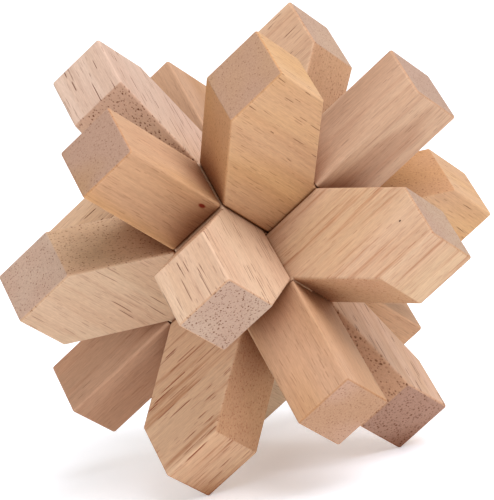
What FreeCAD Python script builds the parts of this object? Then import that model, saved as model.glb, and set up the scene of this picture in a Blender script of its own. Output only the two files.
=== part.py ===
import FreeCAD, Part
import math
import os

# Wooden star burr puzzle: six notched planks and three square sticks, locked by a key.
# Millimetres. Each piece is cut in the puzzle's own axes, with the middle of the puzzle at
# the origin and the three sticks along X, Y and Z. At the end the puzzle is turned so that
# it stands on three arm tips, with +Z up through one of its body diagonals.

# Driving dimensions
PITCH = 11.5            # distance from one layer of wood to the next
JOINT_GAP = 0.2         # play between two faces that meet
STICK_REACH = 41.0      # from the middle of the puzzle to a stick's end
PLANK_REACH = 30.5      # from the middle of the puzzle to a plank's outer edges
EDGE_ROUND = 0.5        # rounding on every outer edge
PEG_RADIUS = 2.5        # round tongue of the key
PEG_CLEARANCE = 0.35    # play between the tongue and the holes that it passes through
SOCKET_CLEARANCE = 0.05  # play between the tongue and the cap that grips it
SOCKET_GRIP = 10.0      # length of tongue held in the cap
SOCKET_END_ROOM = 0.6   # room below the tongue's end
PEG_CHAMFER = 0.5       # lead on the tongue's end

# Worked out from the driving dimensions
HALF_GAP = JOINT_GAP / 2
HALF_PITCH = PITCH / 2
STOCK = PITCH - JOINT_GAP             # thickness of the planks and sticks
FACE = STOCK / 2                      # from a piece's centre plane to its face
PLANK_INNER = HALF_PITCH + HALF_GAP   # inner edge of a plank
BRIDGE_OUTER = PLANK_INNER + PITCH    # outer edge of the narrow middle of a plank
SHOULDER = BRIDGE_OUTER + JOINT_GAP   # where the key's square arms start
FAR = 2 * STICK_REACH                 # longer than any piece

# Stretches along an axis that the notches are cut over, with play where they end inside a piece
ALL = (-FAR, FAR)
ABOVE = (-HALF_GAP, FAR)
BELOW = (-FAR, HALF_GAP)
MIDDLE = (-HALF_PITCH - HALF_GAP, HALF_PITCH + HALF_GAP)
ABOVE_IN_CORE = (-HALF_GAP, HALF_PITCH + HALF_GAP)
BELOW_IN_CORE = (-HALF_PITCH - HALF_GAP, HALF_GAP)
PLANK_CROSSING = (HALF_PITCH - HALF_GAP, SHOULDER)

CENTRE = FreeCAD.Vector(0, 0, 0)
X_AXIS = FreeCAD.Vector(1, 0, 0)
Y_AXIS = FreeCAD.Vector(0, 1, 0)
BODY_DIAGONAL = FreeCAD.Vector(1, 1, 1)
HALF_TURN = 180         # degrees
THIRD_TURN = 120        # degrees
SAME_PLACE = 0.01       # two points closer than this are one


def box(x_span, y_span, z_span):
    """A block between two values on each axis."""
    low = FreeCAD.Vector(x_span[0], y_span[0], z_span[0])
    size = [span[1] - span[0] for span in (x_span, y_span, z_span)]
    return Part.makeBox(size[0], size[1], size[2], low)


def rounded(solid, edges):
    """The solid with the given edges rounded."""
    return solid.makeFillet(EDGE_ROUND, edges)


def is_inside_corner(edge, corners):
    """True for an edge that runs across the plank at one of the given outline corners."""
    ends = [vertex.Point for vertex in edge.Vertexes]
    if abs(ends[0].y - ends[1].y) < FACE:
        return False
    return any(math.hypot(ends[0].x - x, ends[0].z - z) < SAME_PLACE for x, z in corners)


def plank():
    """A plank with two pointed arms, lying along X above the middle of the puzzle.

    The outline is drawn in the XZ plane. Between the arms is a notch with sloping sides,
    which a stick's arm stands in.
    """
    side = [
        (BRIDGE_OUTER, PLANK_INNER),
        (PLANK_REACH, PLANK_REACH - PITCH),
        (PLANK_REACH, PLANK_REACH),
        (PLANK_REACH - PITCH, PLANK_REACH),
        (PLANK_INNER, BRIDGE_OUTER),
    ]
    outline = side + [(-x, z) for x, z in reversed(side)]
    points = [FreeCAD.Vector(x, -FACE, z) for x, z in outline]
    face = Part.Face(Part.makePolygon(points + points[:1]))
    solid = face.extrude(FreeCAD.Vector(0, STOCK, 0))
    notch_corners = [(PLANK_INNER, BRIDGE_OUTER), (-PLANK_INNER, BRIDGE_OUTER)]
    edges = [edge for edge in solid.Edges if not is_inside_corner(edge, notch_corners)]
    return rounded(solid, edges)


def stick(low, high):
    """A square stick along Z between two heights, rounded on all its edges."""
    solid = box((-FACE, FACE), (-FACE, FACE), (low, high))
    return rounded(solid, solid.Edges)


def drilled(solid):
    """The solid with the key's hole drilled through it along Z."""
    radius = PEG_RADIUS + PEG_CLEARANCE
    return solid.cut(Part.makeCylinder(radius, 2 * FAR, FreeCAD.Vector(0, 0, -FAR)))


def cycled(solid, steps):
    """The solid turned about a body diagonal, so that X goes to Y, Y to Z and Z to X."""
    turned = solid.copy()
    turned.rotate(CENTRE, BODY_DIAGONAL, THIRD_TURN * steps)
    return turned


def flipped(solid, axis):
    """The solid given a half turn about an axis."""
    turned = solid.copy()
    turned.rotate(CENTRE, axis, HALF_TURN)
    return turned


def across(span):
    """The same stretch on the other side of the middle."""
    return (-span[1], -span[0])


def cross_planks():
    """The two planks along X, which carry the key's hole."""
    top = drilled(plank())
    return top, flipped(top, Y_AXIS)


def side_planks():
    """The two planks along Y, halved to sit on the X stick from above and from below."""
    whole = cycled(plank(), 1)
    front = whole.cut(box((0, SHOULDER), MIDDLE, BELOW))
    return front, flipped(front, Y_AXIS)


def upright_planks():
    """The two planks along Z, halved so that both slide onto the Y stick from +X."""
    whole = cycled(plank(), 2)
    right = whole.cut(box(BELOW, (0, SHOULDER), MIDDLE))
    return right, flipped(right, X_AXIS)


def lower_stick():
    """The stick along Y. It keeps the four lower and rear eighths of the core."""
    solid = cycled(stick(-STICK_REACH, STICK_REACH), 2)
    for span in (PLANK_CROSSING, across(PLANK_CROSSING)):
        solid = solid.cut(box(ABOVE, span, ALL))
    core_cuts = [
        (ABOVE, ABOVE_IN_CORE, ALL),
        (ABOVE, BELOW_IN_CORE, ABOVE),
        (BELOW, ABOVE_IN_CORE, ABOVE),
    ]
    for spans in core_cuts:
        solid = solid.cut(box(*spans))
    return drilled(solid)


def upper_stick():
    """The stick along X. It fills the part of the core that the lower stick leaves."""
    solid = cycled(stick(-STICK_REACH, STICK_REACH), 1)
    solid = solid.cut(box(PLANK_CROSSING, ALL, ABOVE))
    solid = solid.cut(box(across(PLANK_CROSSING), ALL, BELOW))
    core_cuts = [
        (BELOW_IN_CORE, BELOW, ALL),
        (BELOW_IN_CORE, ABOVE, BELOW),
        (ABOVE_IN_CORE, BELOW, BELOW),
    ]
    for spans in core_cuts:
        solid = solid.cut(box(*spans))
    return drilled(solid)


def key_peg():
    """The key: a square arm with a round tongue that runs down through the puzzle."""
    length = 2 * SHOULDER + SOCKET_GRIP
    foot = FreeCAD.Vector(0, 0, SHOULDER - length)
    tongue = Part.makeCylinder(PEG_RADIUS, length + EDGE_ROUND, foot)
    end_ring = [edge for edge in tongue.Edges if edge.BoundBox.ZMax < foot.z + PEG_CHAMFER]
    tongue = tongue.makeChamfer(PEG_CHAMFER, end_ring)
    return stick(SHOULDER, STICK_REACH).fuse(tongue).removeSplitter()


def key_cap():
    """The opposite arm, with a blind socket that grips the key's tongue."""
    depth = SOCKET_GRIP + SOCKET_END_ROOM
    foot = FreeCAD.Vector(0, 0, -SHOULDER - depth)
    socket = Part.makeCylinder(PEG_RADIUS + SOCKET_CLEARANCE, depth + EDGE_ROUND, foot)
    return stick(-STICK_REACH, -SHOULDER).cut(socket)


def standing_turn():
    """The turn that puts the puzzle on three arm tips."""
    up = FreeCAD.Vector(-1, 1, 1).normalize()
    back = FreeCAD.Vector(-1, 0, -1).normalize()
    side = back.cross(up)
    turn = FreeCAD.Matrix()
    turn.A11, turn.A12, turn.A13 = side.x, side.y, side.z
    turn.A21, turn.A22, turn.A23 = back.x, back.y, back.z
    turn.A31, turn.A32, turn.A33 = up.x, up.y, up.z
    return FreeCAD.Placement(turn)


def build_pieces():
    """Every piece by name, in the puzzle's own axes."""
    cross_top, cross_bottom = cross_planks()
    side_front, side_back = side_planks()
    upright_right, upright_left = upright_planks()
    return {
        "lower_stick": lower_stick(),
        "upper_stick": upper_stick(),
        "cross_plank_top": cross_top,
        "cross_plank_bottom": cross_bottom,
        "side_plank_front": side_front,
        "side_plank_back": side_back,
        "upright_plank_right": upright_right,
        "upright_plank_left": upright_left,
        "key_peg": key_peg(),
        "key_cap": key_cap(),
    }


def stand(pieces):
    """Turn the pieces onto three arm tips and lift them until the tips are at Z = 0."""
    turn = standing_turn()
    for solid in pieces.values():
        solid.Placement = turn.multiply(solid.Placement)
    lowest = min(solid.optimalBoundingBox(False).ZMin for solid in pieces.values())
    for solid in pieces.values():
        solid.translate(FreeCAD.Vector(0, 0, -lowest))
    return -lowest


def main():
    """Build every piece and write one file for each."""
    os.makedirs("parts", exist_ok=True)
    pieces = build_pieces()
    centre_height = stand(pieces)
    print("height of the puzzle's middle above its tips:", round(centre_height, 4))
    for name, solid in pieces.items():
        solid.exportStep("parts/" + name + ".step")
        print(name, len(solid.Solids), solid.isValid(), round(solid.Volume, 1))


main()
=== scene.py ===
"""The looks of a wooden star burr puzzle: solid hardwood pieces, a pale floor, soft light and a camera."""

import logging
import math
from abc import ABC, abstractmethod
from dataclasses import dataclass, field, replace
from enum import Enum

import bmesh
import bpy
from mathutils import Matrix, Vector


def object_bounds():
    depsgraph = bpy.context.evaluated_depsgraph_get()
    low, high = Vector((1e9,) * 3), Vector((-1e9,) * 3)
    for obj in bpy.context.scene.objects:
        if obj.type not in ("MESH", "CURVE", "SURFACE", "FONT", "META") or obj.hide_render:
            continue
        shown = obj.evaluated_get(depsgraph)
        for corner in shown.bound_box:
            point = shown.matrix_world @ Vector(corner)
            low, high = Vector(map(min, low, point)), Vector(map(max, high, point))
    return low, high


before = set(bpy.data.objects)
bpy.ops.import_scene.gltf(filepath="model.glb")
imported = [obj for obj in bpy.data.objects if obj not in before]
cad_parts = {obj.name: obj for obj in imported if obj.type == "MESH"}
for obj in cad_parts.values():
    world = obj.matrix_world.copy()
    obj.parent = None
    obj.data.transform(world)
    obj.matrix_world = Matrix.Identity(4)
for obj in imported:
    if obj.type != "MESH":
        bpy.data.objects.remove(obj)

LOG = logging.getLogger("star_puzzle")
CAD_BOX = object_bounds()
SENSOR_WIDTH_MM = 36.0
MM_PER_M = 1000.0
SHADER_SAMPLES = 6

CHART_WHITE = 255
CHART_OFFSET = 0.055
CHART_POWER = 2.4

NUMBER = "NodeSocketFloat"
VECTOR = "NodeSocketVector"
COLOUR = "NodeSocketColor"

Triple = tuple[float, float, float]
Span = tuple[float, float]
Colour = tuple[float, float, float]
Socket = bpy.types.NodeSocket


class Grain(Enum):
    """Which way a piece's grain runs, as a direction in the row frame."""

    CROSS = (1 / math.sqrt(6), -1 / math.sqrt(2), -1 / math.sqrt(3))
    SIDE = (2 / math.sqrt(6), 0.0, 1 / math.sqrt(3))
    UPRIGHT = (-1 / math.sqrt(6), -1 / math.sqrt(2), 1 / math.sqrt(3))

    @property
    def along(self) -> Vector:
        """The direction of the fibres."""
        return Vector(self.value)

    @property
    def across(self) -> Vector:
        """One direction square to the fibres, along the piece's own faces."""
        order = list(Grain)
        return order[(order.index(self) + 1) % len(order)].along


class Graph:
    """Adds nodes to one node tree and joins them up."""

    def __init__(self, tree: bpy.types.NodeTree) -> None:
        """Args:
            tree: The node tree to add to.
        """
        self.tree = tree

    def node(self, kind: str, **settings: object) -> bpy.types.Node:
        """Add a node and set its options.

        Args:
            kind: The node's type name.
            settings: Options of the node by name.

        Returns:
            The new node.
        """
        made = self.tree.nodes.new(kind)
        for name, value in settings.items():
            setattr(made, name, value)
        return made

    def feed(self, socket: Socket, value: object) -> None:
        """Join a socket to another, or set it to a constant.

        Args:
            socket: The input to feed.
            value: An output socket or a plain value.
        """
        if isinstance(value, bpy.types.NodeSocket):
            self.tree.links.new(value, socket)
        else:
            socket.default_value = value

    def math(self, operation: str, *values: object, clamp: bool = False) -> Socket:
        """Work out a number from one to three others.

        Args:
            operation: The name of the sum to do.
            values: Sockets or numbers.
            clamp: Whether to keep the result between 0 and 1.

        Returns:
            The socket that holds the result.
        """
        made = self.node("ShaderNodeMath", operation=operation, use_clamp=clamp)
        for socket, value in zip(made.inputs, values):
            self.feed(socket, value)
        return made.outputs[0]

    def vector(self, operation: str, *values: object) -> bpy.types.Node:
        """Add a vector sum.

        Args:
            operation: The name of the sum to do.
            values: Sockets or vectors.

        Returns:
            The node, whose outputs are a vector and a number.
        """
        made = self.node("ShaderNodeVectorMath", operation=operation)
        for socket, value in zip(made.inputs, values):
            self.feed(socket, value)
        return made

    def stretched(self, position: Socket, size: object) -> Socket:
        """The position measured in units of a cell's size along each axis.

        Args:
            position: The position in millimetres.
            size: The cell's size in millimetres, a socket or a constant.

        Returns:
            The position in cells.
        """
        return self.vector("DIVIDE", position, size).outputs["Vector"]

    def noise(self, position: Socket, detail: float = 2.0, roughness: float = 0.5) -> bpy.types.Node:
        """Add a soft noise of one-unit cells.

        Args:
            position: The position in cells.
            detail: How many finer layers it has.
            roughness: How strong the finer layers are.

        Returns:
            The node, whose outputs are a number and a colour.
        """
        made = self.node("ShaderNodeTexNoise", noise_dimensions="3D")
        self.feed(made.inputs["Vector"], position)
        self.feed(made.inputs["Scale"], 1.0)
        self.feed(made.inputs["Detail"], detail)
        self.feed(made.inputs["Roughness"], roughness)
        return made

    def ease(self, value: Socket, low: object, high: object, start: float = 0.0, end: float = 1.0) -> Socket:
        """A smooth step of a value from one limit to the other.

        Args:
            value: The value to step.
            low: Where the step starts.
            high: Where it ends.
            start: The result below the step.
            end: The result above it.

        Returns:
            The stepped value.
        """
        made = self.node("ShaderNodeMapRange", interpolation_type="SMOOTHSTEP")
        for name, given in (("Value", value), ("From Min", low), ("From Max", high)):
            self.feed(made.inputs[name], given)
        self.feed(made.inputs["To Min"], start)
        self.feed(made.inputs["To Max"], end)
        return made.outputs["Result"]

    def closed_in(self, reach: Socket) -> Socket:
        """How much of the space within a reach is filled by wood.

        Args:
            reach: The distance that counts, in metres.

        Returns:
            The filled share.
        """
        made = self.node("ShaderNodeAmbientOcclusion", samples=SHADER_SAMPLES)
        self.feed(made.inputs["Distance"], reach)
        return self.math("SUBTRACT", 1.0, made.outputs["AO"], clamp=True)

    def blend(self, factor: object, first: object, second: object, mode: str = "MIX") -> Socket:
        """Mix two colours.

        Args:
            factor: The share of the second.
            first: A colour or a colour socket.
            second: A colour or a colour socket.
            mode: The way of mixing.

        Returns:
            The mixed colour.
        """
        made = self.node("ShaderNodeMix", data_type="RGBA", blend_type=mode)
        inputs = [socket for socket in made.inputs if socket.enabled]
        for socket, value in zip(inputs, (factor, first, second)):
            self.feed(socket, value)
        return next(socket for socket in made.outputs if socket.enabled)


def opaque(colour: Colour) -> tuple[float, float, float, float]:
    """The colour with a full alpha."""
    return (*colour, 1.0)


class EffectGroup:
    """A shader node group that more than one material uses."""

    def __init__(self, name: str, inputs: dict[str, str], outputs: dict[str, str]) -> None:
        """Args:
            name: The group's name.
            inputs: Socket types by input name.
            outputs: Socket types by output name.
        """
        self.tree = bpy.data.node_groups.new(name, "ShaderNodeTree")
        for label, kind in inputs.items():
            self.tree.interface.new_socket(label, in_out="INPUT", socket_type=kind)
        for label, kind in outputs.items():
            self.tree.interface.new_socket(label, in_out="OUTPUT", socket_type=kind)
        self.graph = Graph(self.tree)
        self.given = self.graph.node("NodeGroupInput").outputs
        self.result = self.graph.node("NodeGroupOutput").inputs

    def place(self, graph: Graph, values: dict[str, object]) -> bpy.types.Node:
        """Put the group into another tree.

        Args:
            graph: The tree to put it in.
            values: Sockets or constants by input name.

        Returns:
            The group's node.
        """
        node = graph.node("ShaderNodeGroup", node_tree=self.tree)
        node.label = self.tree.name
        for name, value in values.items():
            graph.feed(node.inputs[name], value)
        return node


class TimberAxes(EffectGroup):
    """Position in a board's own axes, in millimetres, and how square a face is to the fibres.

    The first axis is along the fibres. The place counts from the puzzle's middle, and the position from a
    spot in the tree that the piece was sawn from.
    """

    def __init__(self) -> None:
        """Build the group."""
        super().__init__(
            "timber_axes",
            {"Along": VECTOR, "Across": VECTOR, "Middle": VECTOR, "Offset": VECTOR},
            {"Place": VECTOR, "Position": VECTOR, "End Grain": NUMBER},
        )
        graph, given = self.graph, self.given
        source = graph.node("ShaderNodeTexCoord")
        from_middle = graph.vector("SUBTRACT", source.outputs["Object"], given["Middle"]).outputs["Vector"]
        third = graph.vector("CROSS_PRODUCT", given["Along"], given["Across"]).outputs["Vector"]
        joined = graph.node("ShaderNodeCombineXYZ")
        for socket, axis in zip(joined.inputs, (given["Along"], given["Across"], third)):
            graph.feed(socket, graph.vector("DOT_PRODUCT", from_middle, axis).outputs["Value"])
        scaled = graph.vector("MULTIPLY", joined.outputs["Vector"], (MM_PER_M,) * 3).outputs["Vector"]
        graph.feed(self.result["Place"], scaled)
        graph.feed(self.result["Position"], graph.vector("ADD", scaled, given["Offset"]).outputs["Vector"])
        facing = graph.vector("DOT_PRODUCT", source.outputs["Normal"], given["Along"]).outputs["Value"]
        graph.feed(self.result["End Grain"], graph.math("ABSOLUTE", facing))


@dataclass(frozen=True)
class Marking:
    """A soft noise drawn out along the grain. Its cell is in millimetres.

    The span tells between which two values of the noise the marking comes in.
    """

    cell: Triple
    detail: float
    roughness: float
    span: Span


class WoodFigure(EffectGroup):
    """Growth rings, colour streaks, cloudy tone and the fine fibre of the wood.

    Each of its five outputs is between 0 and 1.
    """

    WAVER_CELL: Triple = (34.0, 9.0, 9.0)
    NOISE_MIDDLE: Triple = (0.5, 0.5, 0.5)
    TRUNK_SHAPE: Triple = (0.02, 1.0, 1.0)
    RING_DARKENS: Span = (0.0, 0.75)
    RING_ENDS: Span = (0.85, 1.0)
    MARKINGS: dict[str, Marking] = {
        "Streak": Marking(cell=(26.0, 1.3, 1.3), detail=4.0, roughness=0.62, span=(0.50, 0.68)),
        "Fibre": Marking(cell=(16.0, 0.34, 0.34), detail=3.0, roughness=0.65, span=(0.30, 0.70)),
        "Fleck": Marking(cell=(1.5, 0.17, 0.17), detail=2.0, roughness=0.60, span=(0.30, 0.70)),
        "Cloud": Marking(cell=(38.0, 12.0, 12.0), detail=1.0, roughness=0.50, span=(0.35, 0.65)),
    }

    def __init__(self) -> None:
        """Build the group."""
        super().__init__(
            "wood_figure",
            {"Position": VECTOR, "Pith": VECTOR, "Ring Width": NUMBER, "Ring Waver": VECTOR},
            {"Ring": NUMBER, "Streak": NUMBER, "Fibre": NUMBER, "Fleck": NUMBER, "Cloud": NUMBER},
        )
        graph, given = self.graph, self.given
        place = given["Position"]
        waver = graph.noise(graph.stretched(place, self.WAVER_CELL))
        bend = graph.vector("SUBTRACT", waver.outputs["Color"], self.NOISE_MIDDLE).outputs["Vector"]
        swayed = graph.vector("MULTIPLY_ADD", bend, given["Ring Waver"], place).outputs["Vector"]
        from_pith = graph.vector("SUBTRACT", swayed, given["Pith"]).outputs["Vector"]
        flat = graph.vector("MULTIPLY", from_pith, self.TRUNK_SHAPE).outputs["Vector"]
        radius = graph.vector("LENGTH", flat).outputs["Value"]
        phase = graph.math("FRACT", graph.math("DIVIDE", radius, given["Ring Width"]))
        darker, over = graph.ease(phase, *self.RING_DARKENS), graph.ease(phase, *self.RING_ENDS)
        graph.feed(self.result["Ring"], graph.math("SUBTRACT", darker, over, clamp=True))
        for name, marking in self.MARKINGS.items():
            noise = graph.noise(graph.stretched(place, marking.cell), marking.detail, marking.roughness)
            graph.feed(self.result[name], graph.ease(noise.outputs["Fac"], *marking.span))


class WoodVessels(EffectGroup):
    """The wood's open vessels: short dashes along the grain, and dots on the end grain.

    Each vessel is a thin straight tube of its own, so that a face shows it as it cuts it. Sawing across
    the fibres tears it wider. The mask is 1 inside a vessel, and lengths are in millimetres. The tubes
    differ in length, radius and depth, each from a least share up by a spread.
    """

    DRIFT_CELL: Triple = (14.0, 5.0, 5.0)
    DRIFT: Triple = (0.0, 0.9, 0.9)
    ASIDE: Triple = (0.0, 1.0, 1.0)
    LEAST_LENGTH = 0.4
    LENGTH_SPREAD = 1.1
    LEAST_RADIUS = 0.7
    RADIUS_SPREAD = 0.6
    LEAST_DEPTH = 0.3
    DEPTH_SPREAD = 0.7
    FULL_LENGTH = 0.55
    FULL_RADIUS = 0.55
    TORN_WIDER = 0.4

    def __init__(self) -> None:
        """Build the group."""
        super().__init__(
            "wood_vessels",
            {
                "Position": VECTOR, "Cell": VECTOR, "Half Length": NUMBER, "Radius": NUMBER,
                "End Grain": NUMBER,
            },
            {"Mask": NUMBER},
        )
        graph, given = self.graph, self.given
        drift = graph.noise(graph.stretched(given["Position"], self.DRIFT_CELL), detail=0.0)
        swayed = graph.vector("MULTIPLY_ADD", drift.outputs["Color"], self.DRIFT, given["Position"])
        cell_place = graph.stretched(swayed.outputs["Vector"], given["Cell"])
        tubes = graph.node("ShaderNodeTexVoronoi", voronoi_dimensions="3D")
        graph.feed(tubes.inputs["Vector"], cell_place)
        graph.feed(tubes.inputs["Scale"], 1.0)
        away = graph.vector("SUBTRACT", tubes.outputs["Position"], cell_place).outputs["Vector"]
        away = graph.vector("MULTIPLY", away, given["Cell"]).outputs["Vector"]
        along = graph.node("ShaderNodeSeparateXYZ")
        graph.feed(along.inputs[0], graph.vector("ABSOLUTE", away).outputs["Vector"])
        aside = graph.vector("LENGTH", graph.vector("MULTIPLY", away, self.ASIDE).outputs["Vector"])
        lot = graph.node("ShaderNodeSeparateXYZ")
        graph.feed(lot.inputs[0], tubes.outputs["Color"])
        length = graph.math("MULTIPLY_ADD", lot.outputs["X"], self.LENGTH_SPREAD, self.LEAST_LENGTH)
        reach = graph.math("MULTIPLY", given["Half Length"], length)
        full = graph.math("MULTIPLY", reach, self.FULL_LENGTH)
        taper = graph.ease(along.outputs["X"], full, reach, start=1.0, end=0.0)
        torn = graph.math("MULTIPLY_ADD", given["End Grain"], self.TORN_WIDER, 1.0)
        width = graph.math("MULTIPLY_ADD", lot.outputs["Z"], self.RADIUS_SPREAD, self.LEAST_RADIUS)
        radius = graph.math("MULTIPLY", graph.math("MULTIPLY", given["Radius"], torn), width)
        core = graph.math("MULTIPLY", radius, self.FULL_RADIUS)
        filled = graph.ease(aside.outputs["Value"], core, radius, start=1.0, end=0.0)
        depth = graph.math("MULTIPLY_ADD", lot.outputs["Y"], self.DEPTH_SPREAD, self.LEAST_DEPTH)
        graph.feed(self.result["Mask"], graph.math("MULTIPLY", graph.math("MULTIPLY", filled, taper), depth))


class PinKnot(EffectGroup):
    """A small dark knot at one spot of a piece. The mask is 1 in the knot, and lengths are in millimetres."""

    FRAY_CELL: Triple = (0.7, 0.4, 0.4)
    FRAY: Triple = (0.6, 0.6, 0.6)
    HALF_FRAY: Triple = (0.3, 0.3, 0.3)
    RIM: Span = (0.45, 1.0)

    def __init__(self) -> None:
        """Build the group."""
        super().__init__("pin_knot", {"Place": VECTOR, "Centre": VECTOR, "Size": VECTOR}, {"Mask": NUMBER})
        graph, given = self.graph, self.given
        away = graph.vector("SUBTRACT", given["Place"], given["Centre"]).outputs["Vector"]
        ragged = graph.noise(graph.stretched(given["Place"], self.FRAY_CELL), detail=1.0).outputs["Color"]
        shaped = graph.vector("DIVIDE", away, given["Size"]).outputs["Vector"]
        frayed = graph.vector("MULTIPLY_ADD", ragged, self.FRAY, shaped).outputs["Vector"]
        centred = graph.vector("SUBTRACT", frayed, self.HALF_FRAY).outputs["Vector"]
        reach = graph.vector("LENGTH", centred).outputs["Value"]
        graph.feed(self.result["Mask"], graph.ease(reach, *self.RIM, start=1.0, end=0.0))


class EdgePolishAndHighlight(EffectGroup):
    """Rounded edges, for lower roughness and a painted highlight: 1 on a rounded edge and 0 on a flat face.
    """

    TURNED: Span = (0.004, 0.10)

    def __init__(self) -> None:
        """Build the group."""
        super().__init__("edge_polish_and_highlight", {"Width": NUMBER}, {"Mask": NUMBER})
        graph = self.graph
        soft = graph.node("ShaderNodeBevel", samples=SHADER_SAMPLES)
        graph.feed(soft.inputs["Radius"], self.given["Width"])
        true = graph.node("ShaderNodeNewGeometry")
        match = graph.vector("DOT_PRODUCT", soft.outputs["Normal"], true.outputs["Normal"]).outputs["Value"]
        turned = graph.math("SUBTRACT", 1.0, match, clamp=True)
        graph.feed(self.result["Mask"], graph.ease(turned, *self.TURNED))


class PaintedCornerShade(EffectGroup):
    """Painted shade: the crotches between arms, and most of all the seams, are painted darker where wood
    closes round them.

    A second mask tells where a neighbour comes close to an edge, to dim the edge's painted highlight there.
    Reaches are in metres.
    """

    CROTCH_CLOSED: Span = (0.30, 0.95)
    SEAM_CLOSED: Span = (0.30, 0.80)
    OCCLUDED_CLOSED: Span = (0.05, 0.35)

    def __init__(self) -> None:
        """Build the group."""
        super().__init__(
            "painted_corner_shade",
            {"Crotch Reach": NUMBER, "Seam Reach": NUMBER},
            {"Mask": NUMBER, "Occluded": NUMBER},
        )
        graph, given = self.graph, self.given
        # Painted shade: occlusion darkens the crotches, and at a short reach the seams.
        crotch = graph.ease(graph.closed_in(given["Crotch Reach"]), *self.CROTCH_CLOSED)
        closed = graph.closed_in(given["Seam Reach"])
        seam = graph.ease(closed, *self.SEAM_CLOSED)
        graph.feed(self.result["Mask"], graph.math("MAXIMUM", crotch, seam))
        # Where a neighbour is close, the painted edge highlight is dimmed.
        graph.feed(self.result["Occluded"], graph.ease(closed, *self.OCCLUDED_CLOSED))


class WoodTone(EffectGroup):
    """Puts figure, vessels, the painted edge highlight and the painted shade of crotches and seams together
    into the wood's colour, roughness and relief.
    """

    COLOURS = (
        "Pale", "Deep", "Blush", "Heart Tone", "Streak Tone", "Slant Tone", "End Tone", "Vessel Tone",
        "Painted Shade Tone", "Knot Tone",
    )
    NUMBERS = (
        "Ring", "Streak", "Fibre", "Fleck", "Cloud", "Vessels", "Fine Vessels", "End Grain", "Edges",
        "Painted Shade", "Occluded", "Heart", "Knot", "Ring Strength", "Streak Strength", "Vessel Strength",
        "Heart Vessels", "End Vessels",
    )
    SLANTED: Span = (0.25, 0.68)
    SQUARE: Span = (0.76, 0.96)
    FIGURE_LOST_ON_ENDS = -0.75
    CLOUD_SHARE = 0.5
    DARKEST_FIBRE = 0.87
    FIBRE_LIGHTENS = 0.12
    FLECK_LIGHTENS = 0.13
    FINE_DASHES = 0.35
    FINE_DOTS = 0.50
    # Strength and tint of the painted highlight on free edges.
    EDGE_HIGHLIGHT_SHARE = 0.5
    EDGE_HIGHLIGHT_TINT: Colour = (1.22, 1.22, 1.18)
    FACE_ROUGHNESS = 0.50
    END_ROUGHENS = 0.14
    VESSELS_ROUGHEN = 0.20
    CORNER_ROUGHENS = 0.30
    EDGES_SMOOTH = -0.08
    FIBRE_RELIEF = 0.15

    def __init__(self) -> None:
        """Build the group."""
        super().__init__(
            "wood_tone",
            dict.fromkeys(self.COLOURS, COLOUR) | dict.fromkeys(self.NUMBERS, NUMBER),
            {"Color": COLOUR, "Roughness": NUMBER, "Height": NUMBER},
        )
        graph, given = self.graph, self.given
        end = graph.ease(given["End Grain"], *self.SLANTED)
        pores = self.pores(end)
        # The painted edge highlight and then the painted shade of crotches and seams go on top of the wood's
        # colour.
        graph.feed(self.result["Color"], self.shaded_in_corners(self.edge_highlighted(self.holed(self.bare(end), pores))))
        rough = graph.math("MULTIPLY_ADD", end, self.END_ROUGHENS, self.FACE_ROUGHNESS)
        rough = graph.math("MULTIPLY_ADD", pores, self.VESSELS_ROUGHEN, rough)
        rough = graph.math("MULTIPLY_ADD", given["Painted Shade"], self.CORNER_ROUGHENS, rough)
        rough = graph.math("MULTIPLY_ADD", given["Edges"], self.EDGES_SMOOTH, rough)
        graph.feed(self.result["Roughness"], rough)
        relief = graph.math("MULTIPLY", given["Fibre"], self.FIBRE_RELIEF)
        graph.feed(self.result["Height"], graph.math("SUBTRACT", relief, pores))

    def tinted(self, colour: Socket, tint: object) -> Socket:
        """A colour multiplied by a tint."""
        return self.graph.blend(1.0, colour, tint, "MULTIPLY")

    def pores(self, end: Socket) -> Socket:
        """How open the wood is at a spot.

        Args:
            end: How far the face is cut across the fibres.

        Returns:
            The mask of both sorts of vessel.
        """
        graph, given = self.graph, self.given
        dots = graph.math("MULTIPLY", end, given["End Vessels"])
        fine_share = graph.math("MULTIPLY_ADD", dots, self.FINE_DOTS, self.FINE_DASHES)
        fine = graph.math("MULTIPLY", given["Fine Vessels"], fine_share)
        open_share = graph.math(
            "MULTIPLY_ADD", given["Heart"], given["Heart Vessels"], given["Vessel Strength"]
        )
        dashes = graph.math("MULTIPLY", graph.math("SUBTRACT", 1.0, end), open_share)
        coarse = graph.math("MULTIPLY", given["Vessels"], graph.math("ADD", dashes, dots))
        return graph.math("MAXIMUM", coarse, fine)

    def bare(self, end: Socket) -> Socket:
        """The freshly sawn wood with its rings, clouds, heart, streaks and fibre.

        Args:
            end: How far the face is cut across the fibres.

        Returns:
            Its colour.
        """
        graph, given = self.graph, self.given
        lengthwise = graph.math("MULTIPLY_ADD", end, self.FIGURE_LOST_ON_ENDS, 1.0)
        ring = graph.math("MULTIPLY", given["Ring"], given["Ring Strength"])
        colour = graph.blend(graph.math("MULTIPLY", ring, lengthwise), given["Pale"], given["Deep"])
        cloud = graph.math("MULTIPLY", given["Cloud"], self.CLOUD_SHARE)
        colour = graph.blend(cloud, colour, given["Blush"])
        colour = graph.blend(given["Heart"], colour, self.tinted(colour, given["Heart Tone"]))
        streak = graph.math("MULTIPLY", given["Streak"], given["Streak Strength"])
        colour = graph.blend(graph.math("MULTIPLY", streak, lengthwise), colour, given["Streak Tone"])
        fibre = graph.math("MULTIPLY_ADD", given["Fibre"], self.FIBRE_LIGHTENS, self.DARKEST_FIBRE)
        fibre = graph.math("MULTIPLY_ADD", given["Fleck"], self.FLECK_LIGHTENS, fibre)
        colour = self.tinted(colour, fibre)
        square_end = graph.ease(given["End Grain"], *self.SQUARE)
        cut_tone = graph.blend(square_end, given["Slant Tone"], given["End Tone"])
        return graph.blend(end, colour, self.tinted(colour, cut_tone))

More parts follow.
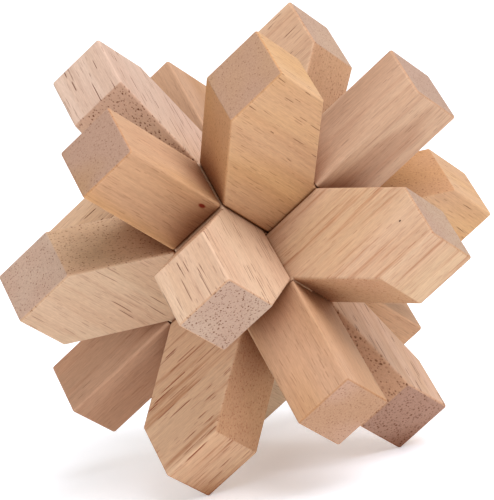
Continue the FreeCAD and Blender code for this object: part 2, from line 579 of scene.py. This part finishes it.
    def holed(self, colour: Socket, pores: Socket) -> Socket:
        """The colour with its vessels and its knot.

        Args:
            colour: The wood's colour.
            pores: The mask of the vessels.

        Returns:
            The new colour.
        """
        colour = self.graph.blend(pores, colour, self.given["Vessel Tone"])
        return self.graph.blend(self.given["Knot"], colour, self.given["Knot Tone"])

    def edge_highlighted(self, colour: Socket) -> Socket:
        """The colour with a painted highlight on its free edges, paler than the wood and dimmed where a
        neighbour is close.

        Args:
            colour: The wood's colour.

        Returns:
            The new colour.
        """
        graph, given = self.graph, self.given
        share = graph.math("MULTIPLY_ADD", given["Occluded"], -self.EDGE_HIGHLIGHT_SHARE, self.EDGE_HIGHLIGHT_SHARE)
        pale = self.tinted(given["Pale"], opaque(self.EDGE_HIGHLIGHT_TINT))
        return graph.blend(graph.math("MULTIPLY", given["Edges"], share), colour, pale)

    def shaded_in_corners(self, colour: Socket) -> Socket:
        """The colour with painted shade in the crotches and seams.

        Args:
            colour: The wood's colour.

        Returns:
            The new colour.
        """
        return self.graph.blend(self.given["Painted Shade"], colour, self.tinted(colour, self.given["Painted Shade Tone"]))


def shade(red: int, green: int, blue: int) -> Colour:
    """A colour from a paint chart's values of 0 to 255, as the shader wants it.

    Args:
        red: The chart's red.
        green: The chart's green.
        blue: The chart's blue.

    Returns:
        The linear colour.
    """
    chart = (value / CHART_WHITE for value in (red, green, blue))
    return tuple(((value + CHART_OFFSET) / (1 + CHART_OFFSET)) ** CHART_POWER for value in chart)


@dataclass(frozen=True)
class WoodFinish:
    """How one sawn piece of light hardwood looks. Lengths are in millimetres."""

    pale: Colour = shade(198, 160, 124)
    deep: Colour = shade(176, 134, 96)
    blush: Colour = shade(190, 152, 124)
    heart_tone: Colour = (1.0, 1.0, 1.0)
    streak_tone: Colour = shade(148, 92, 62)
    slant_tone: Colour = (0.84, 0.74, 0.66)
    end_tone: Colour = (0.74, 0.76, 0.84)
    vessel_tone: Colour = shade(100, 56, 34)
    # Tint of the painted shade in crotches and seams.
    painted_shade_tone: Colour = (0.56, 0.34, 0.22)
    ring_waver: float = 7.0
    ring_strength: float = 0.38
    streak_strength: float = 0.25
    vessel_strength: float = 1.0
    heart_vessels: float = 0.0
    end_vessels: float = 0.4
    vessel_cell: Triple = (8.0, 0.56, 0.56)
    vessel_half_length: float = 2.0
    vessel_radius: float = 0.115
    pith: Triple = (0.0, 58.0, 33.0)
    offset: Triple = (0.0, 0.0, 0.0)
    knot_at: Triple | None = None
    knot_size: Triple = (1.1, 0.5, 0.5)
    knot_tone: Colour = shade(132, 46, 28)

    def settings(self) -> dict[str, object]:
        """The tones and strengths of this wood.

        Returns:
            Constants by the names of the tone group's inputs.
        """
        tones = {
            "Pale": self.pale, "Deep": self.deep, "Blush": self.blush, "Heart Tone": self.heart_tone,
            "Streak Tone": self.streak_tone, "Slant Tone": self.slant_tone, "End Tone": self.end_tone,
            "Vessel Tone": self.vessel_tone, "Painted Shade Tone": self.painted_shade_tone, "Knot Tone": self.knot_tone,
        }
        strengths = {
            "Ring Strength": self.ring_strength, "Streak Strength": self.streak_strength,
            "Vessel Strength": self.vessel_strength, "Heart Vessels": self.heart_vessels,
            "End Vessels": self.end_vessels,
        }
        return {name: opaque(tone) for name, tone in tones.items()} | strengths


@dataclass(frozen=True)
class SawnSizes:
    """How wide the rings are, and from where to where along a piece its heart fades, in millimetres."""

    ring_width: float = 5.5
    heart_span: Span = (-20.0, 0.0)


@dataclass(frozen=True)
class WoodShop:
    """The effect groups that every piece's material is made from, and where the puzzle's middle is.

    The fine vessels are measured in millimetres, everything else in metres.
    """

    middle: Vector
    axes: EffectGroup = field(default_factory=TimberAxes)
    figure: EffectGroup = field(default_factory=WoodFigure)
    vessels: EffectGroup = field(default_factory=WoodVessels)
    knot: EffectGroup = field(default_factory=PinKnot)
    edges: EffectGroup = field(default_factory=EdgePolishAndHighlight)
    occlusion_shade: EffectGroup = field(default_factory=PaintedCornerShade)
    tone: EffectGroup = field(default_factory=WoodTone)
    fine_cell: Triple = (4.5, 0.42, 0.42)
    fine_half_length: float = 1.0
    fine_radius: float = 0.10
    edge_width: float = 0.0005
    # Reaches of the occlusion that paints shade into crotches and seams.
    crotch_reach: float = 0.007
    seam_reach: float = 0.0012
    relief_depth: float = 0.00004
    gloss: float = 0.10

    def material(self, name: str, grain: Grain, finish: WoodFinish, sizes: SawnSizes) -> bpy.types.Material:
        """Make the material of one piece.

        Args:
            name: The material's name.
            grain: The way its fibres run.
            finish: How the wood looks.
            sizes: The sizes of its rings and heart.

        Returns:
            The material.
        """
        made = bpy.data.materials.new(name)
        made.use_nodes = True
        made.node_tree.nodes.clear()
        graph = Graph(made.node_tree)
        axes = self.axes.place(
            graph,
            {"Along": grain.along, "Across": grain.across, "Middle": self.middle, "Offset": finish.offset},
        )
        masks = self.wood_masks(graph, axes, finish, sizes) | self.use_masks(graph)
        tone = self.tone.place(graph, finish.settings() | masks)
        if finish.knot_at:
            knot = self.knot.place(
                graph,
                {"Place": axes.outputs["Place"], "Centre": finish.knot_at, "Size": finish.knot_size},
            )
            graph.feed(tone.inputs["Knot"], knot.outputs["Mask"])
        self.surface(graph, tone)
        return made

    def wood_masks(
        self, graph: Graph, axes: bpy.types.Node, finish: WoodFinish, sizes: SawnSizes
    ) -> dict[str, Socket]:
        """Place the effects that grew with the tree.

        Args:
            graph: The material's tree.
            axes: The node of the board's axes.
            finish: How the wood looks.
            sizes: The sizes of its rings and heart.

        Returns:
            Masks by the names of the tone group's inputs.
        """
        figure = self.figure.place(
            graph,
            {
                "Position": axes.outputs["Position"], "Pith": finish.pith, "Ring Width": sizes.ring_width,
                "Ring Waver": (0.0, finish.ring_waver, finish.ring_waver),
            },
        )
        coarse = (finish.vessel_cell, finish.vessel_half_length, finish.vessel_radius)
        fine = (self.fine_cell, self.fine_half_length, self.fine_radius)
        along = graph.node("ShaderNodeSeparateXYZ")
        graph.feed(along.inputs[0], axes.outputs["Place"])
        return {
            **{socket.name: socket for socket in figure.outputs},
            "Vessels": self.vessel_mask(graph, axes, *coarse),
            "Fine Vessels": self.vessel_mask(graph, axes, *fine),
            "End Grain": axes.outputs["End Grain"],
            "Heart": graph.ease(along.outputs["X"], *sizes.heart_span, start=1.0, end=0.0),
        }

    def vessel_mask(
        self, graph: Graph, axes: bpy.types.Node, cell: Triple, half_length: float, radius: float
    ) -> Socket:
        """Place one sort of vessel. Lengths are in millimetres.

        Args:
            graph: The material's tree.
            axes: The node of the board's axes.
            cell: The room that each vessel has.
            half_length: Half the length of a usual one.
            radius: The radius of a usual one.

        Returns:
            Its mask.
        """
        vessels = self.vessels.place(
            graph,
            {
                "Position": axes.outputs["Position"], "Cell": cell, "Half Length": half_length,
                "Radius": radius, "End Grain": axes.outputs["End Grain"],
            },
        )
        return vessels.outputs["Mask"]

    def use_masks(self, graph: Graph) -> dict[str, Socket]:
        """Place the edge mask, which gives polish and a painted highlight, and the painted shade of crotches
        and seams.

        Args:
            graph: The material's tree.

        Returns:
            Masks by the names of the tone group's inputs.
        """
        # Rounded edges: lower roughness and a painted highlight.
        edges = self.edges.place(graph, {"Width": self.edge_width})
        # Painted shade of crotches and seams, from occlusion.
        occlusion_shade = self.occlusion_shade.place(graph, {"Crotch Reach": self.crotch_reach, "Seam Reach": self.seam_reach})
        return {
            "Edges": edges.outputs["Mask"],
            "Painted Shade": occlusion_shade.outputs["Mask"],
            "Occluded": occlusion_shade.outputs["Occluded"],
        }

    def surface(self, graph: Graph, tone: bpy.types.Node) -> None:
        """Finish a material with its shader.

        Args:
            graph: The material's tree.
            tone: The node that gives colour, roughness and height.
        """
        shader = graph.node("ShaderNodeBsdfPrincipled")
        graph.feed(shader.inputs["Base Color"], tone.outputs["Color"])
        graph.feed(shader.inputs["Roughness"], tone.outputs["Roughness"])
        graph.feed(shader.inputs["Specular IOR Level"], self.gloss)
        relief = graph.node("ShaderNodeBump")
        graph.feed(relief.inputs["Strength"], 1.0)
        graph.feed(relief.inputs["Distance"], self.relief_depth)
        graph.feed(relief.inputs["Height"], tone.outputs["Height"])
        graph.feed(shader.inputs["Normal"], relief.outputs["Normal"])
        surface = graph.node("ShaderNodeOutputMaterial")
        graph.feed(surface.inputs["Surface"], shader.outputs["BSDF"])


@dataclass
class SawnPieces(ABC):
    """Pieces of the puzzle that are sawn alike. Lengths are in millimetres."""

    shop: WoodShop
    sizes: SawnSizes = SawnSizes()

    @abstractmethod
    def woods(self) -> dict[str, tuple[Grain, WoodFinish]]:
        """The grain and the finish of each piece by name."""

    def dress(self) -> None:
        """Give every piece of the set its own wood."""
        for name, (grain, finish) in self.woods().items():
            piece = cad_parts[name]
            wood = self.shop.material(f"{name}_wood", grain, finish, self.sizes)
            if not piece.material_slots:
                piece.data.materials.append(wood)
            for holder in piece.material_slots:
                holder.material = wood
            LOG.info("dressed %s, grain %s", name, grain.name.lower())


@dataclass
class Planks(SawnPieces):
    """The six pointed planks, two along each axis."""

    long_vessel: float = 2.8
    short_vessel: float = 1.3
    wide_vessel: float = 0.15
    slim_vessel: float = 0.085
    sparse_cell: Triple = (8.0, 0.62, 0.62)
    short_cell: Triple = (5.0, 0.56, 0.56)
    pin_place: Triple = (26.7, 5.65, 23.8)
    pin_size: Triple = (0.3, 0.25, 0.25)

    def woods(self) -> dict[str, tuple[Grain, WoodFinish]]:
        """The grain and the finish of each plank by name."""
        return {
            "cross_plank_top": (
                Grain.CROSS,
                WoodFinish(
                    pale=shade(200, 168, 138), deep=shade(184, 146, 112), streak_strength=0.12,
                    heart_tone=(1.0, 1.06, 1.20), vessel_half_length=self.long_vessel,
                    end_vessels=1.0, offset=(3.0, 7.0, 11.0),
                ),
            ),
            "cross_plank_bottom": (
                Grain.CROSS,
                WoodFinish(
                    pale=shade(198, 162, 134), end_tone=(0.60, 0.54, 0.57), vessel_radius=self.wide_vessel,
                    vessel_cell=self.sparse_cell, end_vessels=0.9, offset=(31.0, 47.0, 5.0),
                ),
            ),
            "side_plank_front": (
                Grain.SIDE,
                WoodFinish(
                    pale=shade(194, 161, 127), deep=shade(178, 138, 100), streak_strength=0.6,
                    streak_tone=shade(152, 96, 62), heart_tone=(1.05, 1.03, 1.00),
                    vessel_tone=shade(126, 58, 32), vessel_strength=0.3, heart_vessels=0.8,
                    vessel_half_length=self.long_vessel, offset=(13.0, 71.0, 23.0),
                    knot_at=self.pin_place, knot_size=self.pin_size, knot_tone=shade(70, 44, 34),
                ),
            ),
            "side_plank_back": (
                Grain.SIDE,
                WoodFinish(pale=shade(200, 164, 130), streak_strength=0.35, offset=(57.0, 19.0, 43.0)),
            ),
            "upright_plank_right": (
                Grain.UPRIGHT,
                WoodFinish(
                    pale=shade(197, 155, 109), deep=shade(179, 132, 86), streak_strength=0.15,
                    end_tone=(0.70, 0.69, 0.80), vessel_cell=self.short_cell,
                    vessel_half_length=self.short_vessel, vessel_radius=self.slim_vessel,
                    vessel_strength=0.75, end_vessels=0.25, offset=(83.0, 37.0, 61.0),
                ),
            ),
            "upright_plank_left": (
                Grain.UPRIGHT,
                WoodFinish(
                    pale=shade(200, 174, 144), deep=shade(184, 152, 120), streak_strength=0.15,
                    vessel_half_length=self.long_vessel, vessel_radius=self.slim_vessel,
                    vessel_strength=0.7, end_tone=(0.75, 0.71, 0.76), end_vessels=0.7,
                    offset=(29.0, 97.0, 17.0),
                ),
            ),
        }


@dataclass
class Sticks(SawnPieces):
    """The two notched sticks that cross in the core."""

    def woods(self) -> dict[str, tuple[Grain, WoodFinish]]:
        """The grain and the finish of each stick by name."""
        return {
            "upper_stick": (
                Grain.CROSS,
                WoodFinish(
                    pale=shade(177, 135, 98), deep=shade(162, 118, 82), streak_strength=0.10,
                    end_tone=(0.90, 0.92, 1.04), vessel_strength=0.25, offset=(41.0, 3.0, 89.0),
                ),
            ),
            "lower_stick": (
                Grain.SIDE,
                WoodFinish(
                    pale=shade(192, 157, 127), deep=shade(168, 127, 98), ring_strength=0.6,
                    heart_tone=(0.90, 0.82, 0.78), streak_strength=0.2, vessel_strength=0.3,
                    offset=(67.0, 59.0, 31.0),
                ),
            ),
        }


@dataclass
class Key(SawnPieces):
    """The two square arms of the key, sawn from one stick."""

    knot_place: Triple = (20.85, 5.65, 3.86)

    def woods(self) -> dict[str, tuple[Grain, WoodFinish]]:
        """The grain and the finish of the key's two halves by name."""
        wood = WoodFinish(
            pale=shade(188, 143, 99), deep=shade(172, 123, 80), streak_strength=0.12,
            end_tone=(0.70, 0.73, 0.88), vessel_strength=0.3, end_vessels=0.3, offset=(19.0, 23.0, 73.0),
        )
        return {
            "key_peg": (Grain.UPRIGHT, replace(wood, knot_at=self.knot_place)),
            "key_cap": (Grain.UPRIGHT, wood),
        }


def toward(azimuth: float, elevation: float) -> Vector:
    """The direction from the puzzle to something seen at two angles.

    Args:
        azimuth: Degrees round from -Y towards +X.
        elevation: Degrees above the horizon.

    Returns:
        A unit vector.
    """
    turn, rise = math.radians(azimuth), math.radians(elevation)
    return Vector((math.sin(turn) * math.cos(rise), -math.cos(turn) * math.cos(rise), math.sin(rise)))


def looking_from(place: Vector, outward: Vector, roll: float = 0.0) -> Matrix:
    """The place and turn of a camera or a lamp that looks back along a direction.

    Args:
        place: Where it stands.
        outward: The unit vector from what it looks at to it.
        roll: Degrees that it is turned about that direction.

    Returns:
        Its matrix.
    """
    level = Vector((0, 0, 1)).cross(outward).normalized()
    upright = outward.cross(level)
    turn = math.radians(roll)
    right = level * math.cos(turn) + upright * math.sin(turn)
    above = upright * math.cos(turn) - level * math.sin(turn)
    return Matrix.Translation(place) @ Matrix((right, above, outward)).transposed().to_4x4()


@dataclass(frozen=True)
class Lamp:
    """A soft square lamp aimed at the puzzle. Lengths are in metres."""

    name: str
    azimuth: float
    elevation: float
    distance: float
    side: float
    power: float
    tint: Colour = (1.0, 1.0, 1.0)

    def hang(self, aim: Vector) -> None:
        """Put the lamp in the scene.

        Args:
            aim: The point it shines at.
        """
        data = bpy.data.lights.new(self.name, "AREA")
        data.size = self.side
        data.energy = self.power
        data.color = self.tint
        lamp = bpy.data.objects.new(self.name, data)
        outward = toward(self.azimuth, self.elevation)
        lamp.matrix_world = looking_from(aim + outward * self.distance, outward)
        lamp.visible_camera = False
        bpy.context.scene.collection.objects.link(lamp)


@dataclass(frozen=True)
class Studio:
    """The pale floor, the lamps and the camera."""

    floor_radius: float = 8.0
    floor_corners: int = 64
    floor_roughness: float = 0.8
    floor_colour: Colour = (0.93, 0.93, 0.93)
    floor_glow: float = 0.28
    sky_colour: Colour = (1.0, 1.0, 1.0)
    sky_strength: float = 0.50
    lamps: tuple[Lamp, ...] = (
        Lamp(
            "top_lamp", azimuth=60.0, elevation=62.0, distance=1.1, side=0.9, power=15.5,
            tint=(0.95, 0.99, 1.12),
        ),
        Lamp(
            "front_lamp", azimuth=-25.0, elevation=18.0, distance=1.4, side=1.1, power=5.8,
            tint=(0.89, 0.97, 1.10),
        ),
        Lamp("back_lamp", azimuth=205.0, elevation=25.0, distance=1.4, side=1.1, power=4.0),
    )
    camera_azimuth: float = 11.418
    camera_elevation: float = 10.71
    camera_roll: float = -9.086
    camera_distance: float = 0.5166
    camera_aim: Triple = (-0.00053, -0.00025, -0.00075)
    focal_length_mm: float = 221.4

    def lay_floor(self) -> None:
        """Lay a wide round floor under the puzzle."""
        mesh = bpy.data.meshes.new("floor")
        shape = bmesh.new()
        bmesh.ops.create_circle(
            shape, cap_ends=True, segments=self.floor_corners, radius=self.floor_radius
        )
        shape.to_mesh(mesh)
        shape.free()
        floor = bpy.data.objects.new("floor", mesh)
        bpy.context.scene.collection.objects.link(floor)
        paint = bpy.data.materials.new("pale_floor")
        paint.use_nodes = True
        shader = paint.node_tree.nodes["Principled BSDF"]
        shader.inputs["Base Color"].default_value = opaque(self.floor_colour)
        shader.inputs["Roughness"].default_value = self.floor_roughness
        shader.inputs["Emission Color"].default_value = opaque(self.floor_colour)
        shader.inputs["Emission Strength"].default_value = self.floor_glow
        mesh.materials.append(paint)

    def light(self, aim: Vector) -> None:
        """Switch on the sky and the lamps.

        Args:
            aim: The point that the lamps shine at.
        """
        sky = bpy.data.worlds.new("studio_sky")
        sky.use_nodes = True
        glow = sky.node_tree.nodes["Background"]
        glow.inputs["Color"].default_value = opaque(self.sky_colour)
        glow.inputs["Strength"].default_value = self.sky_strength
        bpy.context.scene.world = sky
        for lamp in self.lamps:
            lamp.hang(aim)

    def set_camera(self, middle: Vector) -> None:
        """Stand the camera in front of the puzzle, a little tilted.

        Args:
            middle: The puzzle's middle.
        """
        data = bpy.data.cameras.new("camera")
        data.sensor_fit = "HORIZONTAL"
        data.sensor_width = SENSOR_WIDTH_MM
        data.lens = self.focal_length_mm
        camera = bpy.data.objects.new("camera", data)
        outward = toward(self.camera_azimuth, self.camera_elevation)
        place = middle + Vector(self.camera_aim) + outward * self.camera_distance
        camera.matrix_world = looking_from(place, outward, self.camera_roll)
        bpy.context.scene.collection.objects.link(camera)
        bpy.context.scene.camera = camera


def main() -> None:
    """Dress the puzzle and build the studio around the middle of the model's box."""
    logging.basicConfig(level=logging.INFO, format="%(name)s: %(message)s")
    low, high = (Vector(corner) for corner in CAD_BOX)
    middle = (low + high) / 2
    studio = Studio()
    studio.set_camera(middle)
    shop = WoodShop(middle)
    for pieces in (Planks(shop), Sticks(shop), Key(shop)):
        pieces.dress()
    studio.lay_floor()
    studio.light(middle)
    bpy.context.scene.view_settings.view_transform = "Standard"


if __name__ == "__main__":
    main()
